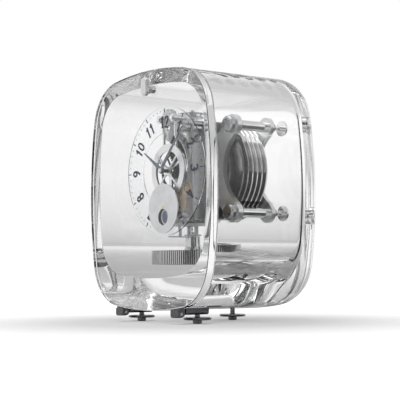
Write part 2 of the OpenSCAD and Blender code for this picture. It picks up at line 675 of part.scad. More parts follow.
// Strokes: a line of points given a width, as one outline
function arc_pts(c, rx, ry, a0, a1, n = 8) = [for (i = [0 : n]) let (t = a0 + (a1 - a0) * i / n) c + [rx * cos(t), ry * sin(t)]];
function unit(v) = v / norm(v);
function side(p, i, w) = let (n = len(p), a = unit(p[min(i + 1, n - 1)] - p[max(i - 1, 0)])) p[i] + w / 2 * [-a.y, a.x];
module stroke(p, w) polygon(concat([for (i = [0 : len(p) - 1]) side(p, i, w)],
  [for (i = [len(p) - 1 : -1 : 0]) side(p, i, -w)]));
module loop(c, rx, ry, w) difference() {
  polygon(arc_pts(c, rx + w / 2, ry + w / 2, 0, 345, 23));
  polygon(arc_pts(c, rx - w / 2, ry - w / 2, 0, 345, 23));
}
// Digits in a cell 1 high and 0.56 wide, drawn from its lower left corner
sw = 0.165;
module digit(k) {
  if (k == 0) loop([0.28, 0.5], 0.21, 0.43, sw);
  if (k == 1) union() {
    stroke([[0.3, 0], [0.3, 1]], sw);
    stroke([[0.08, 0.72], [0.3, 0.89]], sw * 0.8);
  }
  if (k == 2) union() {
    stroke(concat(arc_pts([0.28, 0.72], 0.2, 0.21, 170, -20, 8), [[0.37, 0.48], [0.12, 0.09]]), sw);
    stroke([[0.04, 0.075], [0.54, 0.075]], sw);
  }
  if (k == 3) union() {
    stroke(arc_pts([0.26, 0.73], 0.19, 0.2, 160, -95, 9), sw);
    stroke(arc_pts([0.26, 0.29], 0.22, 0.23, 95, -160, 9), sw);
  }
  if (k == 4) union() {
    stroke([[0.41, 0], [0.41, 1]], sw);
    stroke([[0.38, 0.9], [0.09, 0.34]], sw * 0.9);
    stroke([[0.02, 0.31], [0.56, 0.31]], sw);
  }
  if (k == 5) union() {
    stroke([[0.12, 0.93], [0.5, 0.93]], sw);
    stroke([[0.19, 0.94], [0.15, 0.52]], sw * 0.9);
    stroke(arc_pts([0.25, 0.32], 0.22, 0.26, 125, -150, 9), sw);
  }
  if (k == 7) union() {
    stroke([[0.04, 0.93], [0.54, 0.93]], sw);
    stroke([[0.45, 0.9], [0.2, 0.01]], sw);
  }
  if (k == 8) union() {
    loop([0.28, 0.73], 0.17, 0.2, sw);
    loop([0.28, 0.28], 0.21, 0.22, sw);
  }
  if (k == 9) union() {
    loop([0.28, 0.7], 0.19, 0.23, sw);
    stroke([[0.47, 0.7], [0.46, 0.45], [0.36, 0.18], [0.2, 0.02]], sw);
  }
}
module numerals() color(ink) yext(mark_a, mark_b) translate([0, dial_z]) for (h = [1 : 12])
  if (h != 6) rotate(-h * 30) translate([0, numeral_c - numeral_h / 2])
    if (h < 10) translate([-0.28 * numeral_h, 0]) scale(numeral_h) digit(h);
    else for (k = [0, 1]) translate([(k - 1) * 0.6 * numeral_h + 0.02 * numeral_h, 0]) scale(numeral_h)
      digit(k == 0 ? 1 : h - 10);

// Moon work
module moon_plate() color(silver) difference() {
  ycyl(0, moon_z, moon_d, moon_d + moon_t, moon_r, 128);
  ycyl(0, moon_z - 8.7, moon_d - cut, moon_d + moon_t + cut, moon_hole_r);
  ycyl(0, moon_z + 1.5, moon_d - cut, moon_d + 0.25, 0.7, 24);
}
module moon_pegs() color(silver) for (p = peg_at) union() {
  ycyl(p.x, p.y, moon_d + moon_t + seat, dial_d - seat, peg_r + 0.5);
  ycyl(p.x, p.y, dial_d - cut, dial_back + 0.3, peg_r);
}
module moon_disc() color(ink) union() {
  ycyl(0, moon_axis_z, disc_d, disc_d + disc_thick, moon_disc_r);
  ycyl(0, moon_axis_z, disc_d, arm_d + 1.6, arbor_r);
}

// Month ring with its four arms
module month_ring() color(white) union() {
  yext(month_d, month_d + month_t) translate([0, dial_z]) difference() {
    circle(r = month_r, $fn = 128);
    circle(r = month_r - month_w, $fn = 128);
  }
  yext(month_d, month_d + month_t) translate([0, dial_z]) difference() {
    union() {
      circle(r = month_hub_r, $fn = fine);
      for (k = [0 : 3]) rotate(45 + k * 90) translate([0, -0.9]) square([month_r - month_w + 0.5, 1.8]);
    }
    circle(r = pipe_out + run, $fn = fine);
  }
}

// Hands
module hand_shape(l, a, w, hub, tip = 0.45) translate([0, dial_z]) rotate(90 - a) union() {
  circle(r = hub, $fn = fine);
  polygon([[0, -w], [hub + 2, -w], [l, -tip], [l + 0.5, 0], [l, tip], [hub + 2, w], [0, w]]);
}
module minute_hand() color(ink) difference() {
  yext(minute_d, minute_d + hand_t) hand_shape(minute_l - 0.5, minute_a, 2, 3);
  ycyl(0, dial_z, minute_d - cut, minute_d + hand_t + cut, arbor_r + seat);
}
module hour_hand() color(ink) difference() {
  yext(hour_d, hour_d + hand_t) hand_shape(hour_l - 0.5, hour_a, 2.1, 3.4);
  ycyl(0, dial_z, hour_d - cut, hour_d + hand_t + cut, pipe_out + seat);
}
module hand_nut() color(silver) difference() {
  yturn(0, dial_z) polygon([[0, minute_d - 1.4], [1.6, minute_d - 1.4], [2.8, minute_d - 0.6], [2.8, minute_d - seat], [0, minute_d - seat]]);
  ycyl(0, dial_z, minute_d - 0.8, minute_d + cut, arbor_r + seat);
}
module hour_wheel() color(dark) union() {
  difference() {
    ywheel(0, dial_z, wheel_d, wheel_d + wheel_t) wheel2d(hour_n, hour_m, hour_ph, 5, 2.4, 5, 2);
    ycyl(0, dial_z, wheel_d - cut, wheel_d + wheel_t + cut, pipe_out - 0.3);
  }
  difference() {
    ycyl(0, dial_z, hour_d - 0.2, wheel_d + wheel_t, pipe_out);
    ycyl(0, dial_z, hour_d - cut, wheel_d + wheel_t + cut, pipe_in);
  }
}
module centre_wheel() color(gold) union() {
  ycyl(0, dial_z, minute_d - 0.6, back_back, arbor_r);
  ywheel(0, dial_z, cannon_d, cannon_d + 1.8) gear(cannon_n, cannon_m);
  ywheel(0, dial_z, front_back + 0.8, front_back + 1.6) wheel2d(centre_n, train_m, 0, 4, 2, 5, 1.6);
  ywheel(0, dial_z, front_back + 3, front_back + 4.6) gear(barrel_pinion_n, train_m);
}
module motion_wheel() color(silver) difference() {
  union() {
    ywheel(motion_x, motion_z, motion_d, motion_d + wheel_t)
      wheel2d(motion_n, cannon_m, mate(motion_a, 0, cannon_n, motion_n), 9, 3.5, 5, 5);
    ywheel(motion_x, motion_z, wheel_d - 0.2, motion_d + 0.2) gear(motion_pinion_n, hour_m);
  }
  ycyl(motion_x, motion_z, wheel_d - cut, motion_d + wheel_t + cut, arbor_r + run);
}
module calendar_wheel() color(gold) difference() {
  ywheel(calendar_x, calendar_z, wheel_d, wheel_d + wheel_t)
    gear(calendar_n, hour_m, mate(calendar_a, hour_ph, hour_n, calendar_n));
  ycyl(calendar_x, calendar_z, wheel_d - cut, wheel_d + wheel_t + cut, arbor_r + run);
}
module wheel_stud(x, z, a) {
  ycyl(x, z, a, front_back, arbor_r);
  ycyl(x, z, a - 0.6, a, arbor_r + 1);
}
module wheel_studs() color(silver) union() {
  wheel_stud(motion_x, motion_z, wheel_d - 0.5);
  wheel_stud(calendar_x, calendar_z, wheel_d - 0.5);
  ycyl(calendar_x, calendar_z, wheel_d + wheel_t + 0.2, front_d - seat, arbor_r + 1);
}
barrel_a = front_back + 3.4;
barrel_b = back_d - 0.5;
module barrel() color(gold) union() {
  ycyl(0, barrel_z, front_d, back_back, arbor_r);
  ywheel(0, barrel_z, barrel_a, barrel_a + 1) gear(barrel_n, train_m, mate(90, 0, barrel_pinion_n, barrel_n));
  ycyl(0, barrel_z, barrel_a + 0.5, barrel_b, train_m * barrel_n / 2 - 2);
}
third_ph = mate(third_a, 0, centre_n, third_pinion_n);
module third_wheel() color(gold) union() {
  ycyl(third_x, third_z, front_d, back_back, arbor_r);
  ywheel(third_x, third_z, front_back + 0.6, front_back + 1.8) gear(third_pinion_n, train_m, third_ph);
  ywheel(third_x, third_z, front_back + 5.2, front_back + 6) gear(third_n, train_m);
}
escape_r = 7.5;
module escape_wheel() color(gold) union() {
  ycyl(0, escape_z, front_d, back_back, arbor_r);
  ywheel(0, escape_z, front_back + 5, front_back + 6.2) gear(escape_pinion_n, train_m, mate(escape_a, 0, third_n, escape_pinion_n));
  ywheel(0, escape_z, front_back + 3.4, front_back + 4.2) difference() {
    polygon([for (i = [0 : escape_teeth - 1]) for (q = [[0.80, 0], [1, 0.05], [1, 0.14], [0.8, 0.6]])
      let (a = (i + q[1]) * 360 / escape_teeth) escape_r * q[0] * [cos(a), sin(a)]]);
    difference() {
      circle(r = escape_r * 0.66, $fn = fine);
      circle(r = 1.8, $fn = fine);
      for (k = [0 : 3]) rotate(k * 90) translate([0, -0.4]) square([escape_r * 0.7, 0.8]);
    }
  }
}

// Pallet lever: pallets between the plates, fork behind the back plate
neck_top = balance_z + 28.7;
ring_z = neck_top + 0.6;
roller_z = neck_top + 3.6;
fork_d = torsion_d - 2.5;
fork_lo = roller_z + 2.6;
module pallet_lever() color(steel) union() {
  ycyl(0, pallet_z, front_d, fork_d + 0.6, arbor_r);
  yext(front_back + 3.4, front_back + 4.2) translate([0, pallet_z]) union() {
    circle(r = 1.9, $fn = fine);
    for (s = [-1, 1]) polygon([[0, -0.8], [s * 6.2, 1.4], [s * 6.4, 4.5], [s * 5.4, 4.9], [s * 5, 2.6], [0, 1.2]]);
  }
  yext(fork_d, fork_d + 0.8) union() {
    translate([0, pallet_z]) circle(r = 1.7, $fn = fine);
    translate([-0.7, fork_lo + 2]) square([1.4, pallet_z - fork_lo - 2]);
    translate([-1.7, fork_lo + 1.6]) square([3.4, 1]);
    for (s = [-1, 1]) translate([s * 1.2 - 0.5, fork_lo]) square([1, 2]);
  }
}

// Suspension, torsion wire and balance
deck_z = plate_hi + top_t;
regulator_z = deck_z + regulator_up;
post_top = regulator_z + post_up;
wire_r = 0.35;
module suspension_post() color(silver) difference() {
  union() {
    zcyl(0, torsion_d, deck_z + seat, regulator_z - 0.2, 6);
    zcyl(0, torsion_d, deck_z + seat, post_top, 3.9);
    zcyl(0, torsion_d, post_top - 0.2, post_top + post_tip, 3);
  }
  zcyl(0, torsion_d, deck_z - cut, post_top - 1, 1.5);
  zcyl(0, torsion_d, deck_z - cut, post_top + 1, wire_r + seat);
}
module torsion_wire() color(steel) zcyl(0, torsion_d, roller_z + 0.8 + seat, post_top + 0.9, wire_r, 24);
module regulator_disc() color(silver) difference() {
  translate([0, y0 + torsion_d, regulator_z]) union() {
    linear_extrude(height = 5.5) circle(r = regulator_r - 1.2, $fn = fine);
    linear_extrude(height = 1.6) gear(48, regulator_r / 24.8);
    translate([0, 0, 3.9]) linear_extrude(height = 1.6) gear(48, regulator_r / 24.8);
  }
  zcyl(0, torsion_d, regulator_z - cut, regulator_z + 7, 3.9 + run);
}
leg_x = 6.2;
leg_r = 2.2;
module guide_ring() color(steel) union() {
  difference() {
    zcyl(0, torsion_d, ring_z, ring_z + 1.4, leg_x + leg_r + 0.6);
    zcyl(0, torsion_d, ring_z - cut, ring_z + 2.4, 2.2);
  }
  for (s = [-1, 1]) zcyl(s * leg_x, torsion_d, ring_z + 0.5, plate_lo - bottom_t - seat, leg_r);
}
hub_lo = balance_z + balance_h - 4;
hub_edge = 0.6;
hub_step = 1.5;
hub_rise = 4;
neck_fall = 6;
module balance_hub() color(silver) union() {
  zturn(0, torsion_d) polygon([[0, hub_lo], [hub_r, hub_lo], [hub_r, balance_z + balance_h + hub_step],
    [hub_r - hub_edge, balance_z + balance_h + hub_rise], [neck_r + 0.1, neck_top - neck_fall], [neck_r, neck_top - 0.5], [neck_r - 0.5, neck_top], [1.5, neck_top],
    [1.5, roller_z], [3.2, roller_z], [3.2, roller_z + 0.8], [0, roller_z + 0.8]]);
  zcyl(0, torsion_d - 2.1, roller_z + 0.4, fork_lo - free, 0.4, 24);
}
function flute_pts() = [for (i = [0 : flutes - 1]) for (q = [[0, -0.24], [0, 0.24], [0.7, 0.36], [0.7, 0.64]])
  let (a = (i + q[1]) * 360 / flutes) (balance_r - q[0]) * [cos(a), sin(a)]];
module balance_ring() color(silver) translate([0, y0 + torsion_d, balance_z]) union() {
  linear_extrude(height = balance_h) difference() {
    polygon(flute_pts());
    circle(r = balance_r - balance_w, $fn = 128);
  }
  translate([0, 0, balance_h - 3.6]) linear_extrude(height = 3) difference() {
    union() {
      circle(r = 13, $fn = fine);
      for (k = [0 : 2]) rotate(90 + k * 120) translate([0, -4]) square([balance_r - balance_w + 1, 8]);
    }
    circle(r = hub_r + seat, $fn = fine);
  }
}

// Lock lever under the movement
lock_d = front_d + 4;
lock_z = neck_top - 1;
lock_tip = minute_d + 10.2;
module lock_lever() color(steel) union() {
  zext(lock_z, lock_z + 1.2) polygon([[-0.9, lock_tip], [0.9, lock_tip], [1.6, lock_tip + 6], [2.6, lock_d - 2],
    [2.6, lock_d + 5], [1.6, lock_d + 6.2], [-1.6, lock_d + 6.2], [-2.6, lock_d + 5], [-2.6, lock_d - 2], [-1.6, lock_tip + 6]]);
  zcyl(0, lock_d, lock_z, plate_lo - 1 - seat, 1.6);
}

crystal_case();
rear_foot_bush();
foot_bracket_left();
foot_bracket_right();
hinge_pins();
door_catch();
wall_studs();
rear_caps();
door_glass();
door_knob();
hinge_shoe_left();
hinge_shoe_right();
foot_front_left();
foot_front_right();
foot_rear_disc();
bellows_front_plate();
bellows_rear_plate();
frame_rods();
frame_caps();
frame_collars();
frame_nuts();
bellows();
bellows_end();
movement_front_plate();
movement_back_plate();
movement_top_plate();
movement_bottom_plate();
plate_pillars();
plate_screws();
spacer_posts();
dial_posts();
dial_screws();
bridge_plate();
centre_arm();
dial_ring();
minute_track();
numerals();
moon_plate();
moon_pegs();
moon_disc();
month_ring();
hour_wheel();
hour_hand();
centre_wheel();
minute_hand();
hand_nut();
motion_wheel();
calendar_wheel();
wheel_studs();
barrel();
third_wheel();
escape_wheel();
pallet_lever();
suspension_post();
torsion_wire();
regulator_disc();
guide_ring();
balance_hub();
balance_ring();
lock_lever();
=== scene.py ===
"""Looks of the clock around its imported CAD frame. Metres, X right, Y back, Z up."""

import math

import bpy
from mathutils import Matrix, Vector


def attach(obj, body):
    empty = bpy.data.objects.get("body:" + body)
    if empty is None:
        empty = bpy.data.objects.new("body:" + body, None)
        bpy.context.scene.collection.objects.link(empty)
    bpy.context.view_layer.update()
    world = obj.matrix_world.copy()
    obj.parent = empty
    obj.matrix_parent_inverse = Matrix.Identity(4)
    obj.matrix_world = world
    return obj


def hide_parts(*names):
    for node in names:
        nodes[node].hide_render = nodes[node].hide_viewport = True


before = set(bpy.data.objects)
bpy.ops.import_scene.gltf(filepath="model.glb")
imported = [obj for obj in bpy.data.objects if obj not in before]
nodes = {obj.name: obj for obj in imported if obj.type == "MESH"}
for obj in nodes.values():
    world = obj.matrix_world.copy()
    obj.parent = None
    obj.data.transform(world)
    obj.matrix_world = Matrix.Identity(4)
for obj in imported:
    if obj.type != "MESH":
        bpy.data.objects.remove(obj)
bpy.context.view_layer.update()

MM = 0.001
Y0 = -71.0  # the frame's Y of the door's front face, in millimetres; depths count from there

# Case and door, in millimetres, as in the CAD source
CASE_W, CASE_H, CASE_D = 211.0, 242.0, 146.0
LIFT = 12.0  # from the ground to the case
SIDE_BOW, TOP_BOW = 16.5, 14.4
CORNER_R, REAR_R = 48.6, 23.5
SIDE_WALL, FLOOR_WALL, ROOF_WALL, REAR_WALL = 13.0, 33.0, 14.7, 15.0
CAVITY_SIDE_BOW, CAVITY_TOP_BOW = SIDE_BOW * 2 / 3, TOP_BOW * 0.7
CAVITY_R, CAVITY_BACK_R = 40.0, 14.0
DOOR_T, DOOR_GAP = 8.0, 0.4
CASE_FRONT = DOOR_T + DOOR_GAP
CASE_C = LIFT + CASE_H / 2
CAVITY_LO, CAVITY_HI = LIFT + FLOOR_WALL, LIFT + CASE_H - ROOF_WALL
CAVITY_C = (CAVITY_LO + CAVITY_HI) / 2
CAVITY_BACK = CASE_D - REAR_WALL

# Heights, depths and radii of what the case holds
DIAL_Z = 153.5
BELLOWS_Z = DIAL_Z + 0.8
ROD_C = 44.0  # from the bellows' axis to each rod, across and up
BALANCE_Y = Y0 + 62.0
MOON_Z = DIAL_Z - 38.4
APERTURE_Z = MOON_Z - 8.7
KNOB_Z, SHANK_R = 235.3, 4.7
STUD_R = 3.0
REAR_CAP_R, REAR_CAP_T = 8.0, 3.2
BUSH_R, BUSH_H = 4.5, 10.0
BUSH_DEPTH = CASE_D - 36.2
SEAT = 0.05  # gap round a piece in its bore

# Fineness of the crystal's surface
ARC_STEPS = (14, 34, 14)  # side, corner and top of a quarter outline
EDGE_R, EDGE_STEPS = 1.0, 6
LIP, LIP_STEPS = 0.7, 3  # rounding at the mouth of the cavity
REAR_STEPS, CAVITY_REAR_STEPS = 24, 14
WALL_STEPS, DOOR_STEPS = 8, 3
ROUND_STEPS = 48
FLAT_ANGLE = 35.0  # faces that meet at more degrees than this keep a sharp edge
CUT = 1.0  # how far a cutter stands out of what it cuts
STUD_CUT = 1.2  # how far a stud's bore is cut into the cap's bore


# Geometry helpers
def pt(x, depth, z):
    """A point given in millimetres, with its depth behind the door's front face."""
    return Vector((x * MM, (Y0 + depth) * MM, z * MM))


def full_turn(n):
    """Angles of n even steps round a circle."""
    return [math.tau * i / n for i in range(n)]


def quarter_turn(n, first=1):
    """Angles of n even steps up to a right angle, from the step named first."""
    return [math.pi / 2 * i / n for i in range(first, n + 1)]


def arcs(a, b, sb, tb, r):
    """Three tangent arcs of a quarter outline: centre, radius, first and last angle."""
    rs, rt = (b * b + sb * sb) / (2 * sb), (a * a + tb * tb) / (2 * tb)
    c1, c2 = Vector((a - rs, 0)), Vector((0, b - rt))
    d1, d2 = rs - r, rt - r
    v = c2 - c1
    length = v.length
    q = (d1 * d1 - d2 * d2 + length * length) / (2 * length)
    h = math.sqrt(d1 * d1 - q * q)
    e = v / length
    c = c1 + q * e + h * Vector((-e.y, e.x))
    t1 = math.atan2(c.y - c1.y, c.x - c1.x)
    t2 = math.atan2(c.y - c2.y, c.x - c2.x)
    return [(c1, rs, 0.0, t1), (c, r, t1, t2), (c2, rt, t2, math.pi / 2)]


def outline(shape, inset):
    """The closed outline of the arcs, moved inwards by inset, as points in millimetres."""
    quarter = []
    for (c, r, t0, t1), n in zip(shape, ARC_STEPS):
        for i in range(n):
            t = t0 + (t1 - t0) * i / n
            quarter.append(c + (r - inset) * Vector((math.cos(t), math.sin(t))))
    c, r, _, t = shape[-1]
    quarter.append(c + (r - inset) * Vector((math.cos(t), math.sin(t))))
    top = quarter + [Vector((-p.x, p.y)) for p in reversed(quarter[:-1])]
    return top + [Vector((p.x, -p.y)) for p in reversed(top[1:-1])]


def new_object(name, verts, faces, smooth=True):
    me = bpy.data.meshes.new(name)
    me.from_pydata([tuple(v) for v in verts], [], faces)
    me.validate()
    me.update()
    ob = bpy.data.objects.new(name, me)
    bpy.context.scene.collection.objects.link(ob)
    if smooth:
        shade_smooth(ob)
    return ob


def shade_smooth(ob):
    """Smooth shading with flat faces kept flat: large faces set the normals at their rims."""
    me = ob.data
    me.polygons.foreach_set("use_smooth", [True] * len(me.polygons))
    me.set_sharp_from_angle(angle=math.radians(FLAT_ANGLE))
    mod = ob.modifiers.new("rims", "WEIGHTED_NORMAL")
    mod.mode, mod.weight, mod.keep_sharp = "FACE_AREA", 100, True


def skin(rings, cap_first=False, cap_last=False):
    """Vertices and faces over rings of equal length."""
    n, m = len(rings[0]), len(rings)
    verts = [p for r in rings for p in r]
    faces = []
    for k in range(m - 1):
        for i in range(n):
            j = (i + 1) % n
            a, b = k * n, (k + 1) * n
            faces.append((a + i, b + i, b + j, a + j))
    if cap_first:
        faces.append(tuple(range(n)))
    if cap_last:
        faces.append(tuple((m - 1) * n + i for i in reversed(range(n))))
    return verts, faces


def cut_away(ob, cutters):
    """Cuts the cutters out of ob and removes them."""
    ob.modifiers.clear()
    for i, cutter in enumerate(cutters):
        mod = ob.modifiers.new(f"cut{i}", "BOOLEAN")
        mod.operation, mod.solver, mod.object = "DIFFERENCE", "EXACT", cutter
    bpy.context.view_layer.update()
    dg = bpy.context.evaluated_depsgraph_get()
    me = bpy.data.meshes.new_from_object(ob.evaluated_get(dg))
    ob.modifiers.clear()
    ob.data = me
    shade_smooth(ob)
    for cutter in cutters:
        bpy.data.objects.remove(cutter)


def round_cutter(a, b, radius_mm):
    """A plain round cutter between two points."""
    r = radius_mm * MM
    axis = (b - a).normalized()
    side = axis.orthogonal().normalized()
    other = axis.cross(side)
    rings = [
        [p + r * (math.cos(t) * side + math.sin(t) * other) for t in full_turn(ROUND_STEPS)]
        for p in (a, b)
    ]
    return new_object("hole", *skin(rings, True, True), smooth=False)


def plane(name, centre, x_axis, y_axis):
    """A four-cornered sheet round a centre, with half sides x_axis and y_axis."""
    c, x, y = Vector(centre), Vector(x_axis), Vector(y_axis)
    corners = [c - x - y, c + x - y, c + x + y, c - x + y]
    return new_object(name, corners, [(0, 1, 2, 3)], smooth=False)


# Node helpers
def rgba(c):
    return (*c, 1.0)


def grey(v):
    return (v, v, v, 1.0)


class Nodes:
    """Short forms for building the nodes of a material or of the world."""

    def __init__(self, owner, output="OutputMaterial"):
        owner.use_nodes = True
        self.owner = owner
        self.tree = owner.node_tree
        self.tree.nodes.clear()
        self.out = self.add(output)
        self.coord = None

    def add(self, kind, **values):
        """A new node. A name with a leading underscore is a setting, any other one an input."""
        node = self.tree.nodes.new("ShaderNode" + kind)
        for key, value in values.items():
            if key.startswith("_"):
                setattr(node, key[1:], value)
            else:
                self.put(node, key.replace("_", " "), value)
        return node

    def put(self, node, socket, value):
        target = node.inputs[socket]
        if isinstance(value, bpy.types.NodeSocket):
            self.tree.links.new(value, target)
        elif isinstance(value, bpy.types.Node):
            self.tree.links.new(value.outputs[0], target)
        else:
            target.default_value = value

    def space(self, scale=(1, 1, 1), move=(0, 0, 0)):
        """Object coordinates in millimetres, scaled and then moved."""
        if self.coord is None:
            self.coord = self.add("TexCoord")
        node = self.add("Mapping", Vector=self.coord.outputs["Object"], Location=move)
        node.inputs["Scale"].default_value = [s / MM for s in scale]
        return node

    def noise(self, scale, detail, rough=0.5):
        """Noise of so many features per millimetre: one number, or three along X, Y and Z."""
        scales = scale if isinstance(scale, tuple) else (scale, scale, scale)
        place = self.space(scales)
        node = self.add("TexNoise", Vector=place, Scale=1.0, Detail=detail, Roughness=rough)
        return node.outputs[0]

    def span(self, value, lo, hi, a=0.0, b=1.0):
        """value from a..b mapped to lo..hi."""
        node = self.add("MapRange")
        for i, v in enumerate((value, a, b, lo, hi)):
            self.put(node, i, v)
        return node.outputs[0]

    def math(self, op, *values):
        node = self.add("Math", _operation=op)
        for i, v in enumerate(values):
            self.put(node, i, v)
        return node.outputs[0]

    def mix(self, factor, a, b):
        node = self.add("Mix", _data_type="RGBA")
        for socket, v in ((0, factor), (6, a), (7, b)):
            self.put(node, socket, v)
        return node.outputs[2]

    def ramp(self, value, stops):
        """A grey ramp over value: stops of value and grey, in rising order."""
        lo, hi = stops[0][0], stops[-1][0]
        node = self.add("ValToRGB")
        self.put(node, 0, self.span(value, 0, 1, lo, hi))
        while len(node.color_ramp.elements) < len(stops):
            node.color_ramp.elements.new(0.5)
        for stop, (at, level) in zip(node.color_ramp.elements, stops):
            stop.position, stop.color = (at - lo) / (hi - lo), grey(level)
        return node.outputs[0]

    def soft_edge(self, radius_mm):
        """The normal with edges rounded in the shading alone."""
        return self.add("Bevel", _samples=4, Radius=radius_mm * MM).outputs[0]

    def bump(self, height, strength, distance_mm, edge_mm):
        """The normal with fine bumps and softened edges."""
        node = self.add("Bump", Strength=strength, Distance=distance_mm * MM)
        self.put(node, "Height", height)
        self.put(node, "Normal", self.soft_edge(edge_mm))
        return node.outputs[0]

    def from_axis(self, centre, axis):
        """The place from a centre, in millimetres, and the distance from an axis through it."""
        place = self.add("SeparateXYZ")
        self.put(place, 0, self.space(move=tuple(-c for c in centre)))
        a, b = {"Y": (0, 2), "Z": (0, 1)}[axis]
        squares = [self.math("MULTIPLY", place.outputs[i], place.outputs[i]) for i in (a, b)]
        return place, self.math("SQRT", self.math("ADD", *squares))

    def seen_by(self):
        """1 for a camera ray, 1 for a ray by way of glass or a mirror, and 1 for either."""
        ray = self.add("LightPath").outputs
        bent = self.math("MAXIMUM", ray["Is Glossy Ray"], ray["Is Transmission Ray"])
        camera_ray = ray["Is Camera Ray"]
        return camera_ray, bent, self.math("MAXIMUM", camera_ray, bent)

    def surface(self, shader):
        self.put(self.out, "Surface", shader)
        return self.owner


NOISE_LO, NOISE_HI = 0.3, 0.7  # most of a noise's values lie between these


def varied(m, noise, lo, hi):
    """A value between lo and hi that follows a noise."""
    return m.span(noise, lo, hi, NOISE_LO, NOISE_HI)


def mottled(m, colour, depth, fine, patch_scale):
    """A noise of slow patches and fine grain, and the colour made darker and lighter by it."""
    patches = m.noise(patch_scale, detail=2.0)
    both = m.math("MULTIPLY_ADD", fine, 0.5, m.math("MULTIPLY", patches, 0.5))
    dark = tuple(c * (1 - depth) for c in colour)
    light = tuple(min(1.0, c * (1 + depth)) for c in colour)
    return both, m.mix(varied(m, both, 0, 1), rgba(dark), rgba(light))


def finished(m, bsdf, tone, rough, normal):
    """Gives a surface its colour, roughness and normal, and ends the material."""
    m.put(bsdf, "Base Color", tone)
    m.put(bsdf, "Roughness", rough)
    m.put(bsdf, "Normal", normal)
    return m.surface(bsdf)


def metal(name, colour, rough, grain, bump, edge, spread=0.05, tint=0.06, metallic=1.0):
    """Metal with a fine grain. rough varies by spread, and the colour by the share tint."""
    m = Nodes(bpy.data.materials.new(name))
    fine = m.noise(grain, detail=4.0, rough=0.6)
    both, tone = mottled(m, colour, tint, fine, 0.08)
    bsdf = m.add("BsdfPrincipled", Metallic=metallic)
    uneven = varied(m, both, rough - spread, rough + spread)
    return finished(m, bsdf, tone, uneven, m.bump(fine, bump, 0.1, edge))


def painted(name, colour, rough, speck, coat, edge, ior=1.5):
    """Lacquer or ink with a faint mottle. The colour varies by the share speck."""
    m = Nodes(bpy.data.materials.new(name))
    fine = m.noise(2.2, detail=3.0)
    _, tone = mottled(m, colour, speck, fine, 0.15)
    bsdf = m.add("BsdfPrincipled", Coat_Weight=coat, IOR=ior)
    uneven = varied(m, fine, rough - 0.05, rough + 0.05)
    return finished(m, bsdf, tone, uneven, m.bump(fine, 0.03, 0.05, edge))


def turned(m, tone, fine, edge):
    """Metal of a turned piece in the tone it is given. For the bellows and the balance that tone
    holds painted highlights and shade.
    """
    bsdf = m.add("BsdfPrincipled", Metallic=1.0)
    return finished(m, bsdf, tone, varied(m, fine, 0.16, 0.24), m.bump(fine, 0.02, 0.1, edge))


# Grey by the distance from the bellows' axis in millimetres: painted highlights on the crests and
# painted shade in the valleys.
# The lower half is painted darker as a painted reflection, and there the crests are thin painted
# highlight lines.
PAINTED_RIB_LIGHT_UPPER = (
    (31.5, 0.05), (32.4, 0.9), (33.4, 0.9), (34.2, 0.03), (35.2, 0.5), (36.0, 0.03), (37.4, 0.7),
    (38.4, 0.04), (40.0, 0.5), (42.0, 0.03), (45.0, 0.3), (48.0, 0.9), (51.2, 1.0),
)
PAINTED_RIB_LIGHT_LOWER = (
    (31.5, 0.02), (32.4, 0.8), (33.4, 0.6), (34.2, 0.01), (35.2, 0.2), (36.0, 0.01), (37.4, 0.3),
    (38.4, 0.01), (40.0, 0.2), (42.0, 0.01), (49.6, 0.06), (50.6, 0.9), (51.2, 0.95),
)
LIT_AND_SHADED_HALVES_MEET = (-5.0, -2.0)  # height over the bellows' axis where the painted lit upper half changes over to the painted shaded lower half
PLATE_SHADE = (0.28, 1.0)  # painted shade: behind the front plate the metal is darker
SHADE_REACH = (11.0, 21.0)  # the frame's Y where that shade starts to fade and where it ends


def ribbed_painted_light(name):
    """Bellows metal with painted highlights on the crests, painted shade in the valleys, a painted
    darker lower half and painted shade behind the front plate.
    """
    m = Nodes(bpy.data.materials.new(name))
    place, radius = m.from_axis((0, 0, BELLOWS_Z), "Y")
    lit_half, shaded_half = m.ramp(radius, PAINTED_RIB_LIGHT_UPPER), m.ramp(radius, PAINTED_RIB_LIGHT_LOWER)
    shaded = m.span(place.outputs[1], *PLATE_SHADE, *SHADE_REACH)
    fine = m.noise(1.2, detail=3.0)
    tone = m.add("VectorMath", _operation="SCALE")
    m.put(tone, 0, m.mix(m.span(place.outputs[2], 0, 1, *LIT_AND_SHADED_HALVES_MEET), shaded_half, lit_half))
    m.put(tone, "Scale", m.math("MULTIPLY", shaded, varied(m, fine, 0.94, 1.06)))
    return turned(m, tone, fine, 0.12)


# Grey by the distance from the balance's axis: the flutes are light, and the gaps between them are
# dark with painted shade
FLUTES_AND_PAINTED_GAP_SHADE = ((38.0, 0.42), (41.4, 0.42), (41.55, 0.01), (42.05, 0.015), (42.25, 0.7), (42.5, 0.75))


def fluted_painted_shade(name):
    """Balance ring metal, with painted shade in the gaps between the flutes."""
    m = Nodes(bpy.data.materials.new(name))
    _, radius = m.from_axis((0, BALANCE_Y, 0), "Z")
    return turned(m, m.ramp(radius, FLUTES_AND_PAINTED_GAP_SHADE), m.noise(1.2, detail=3.0), 0.08)


MOON_X = 3.2  # the painted moon stands this far right of the aperture's middle
MOON_FIELD, MOON_EDGE = (6.5, 6.9), (8.0, 8.5)  # radii where the blue and the pale edge end


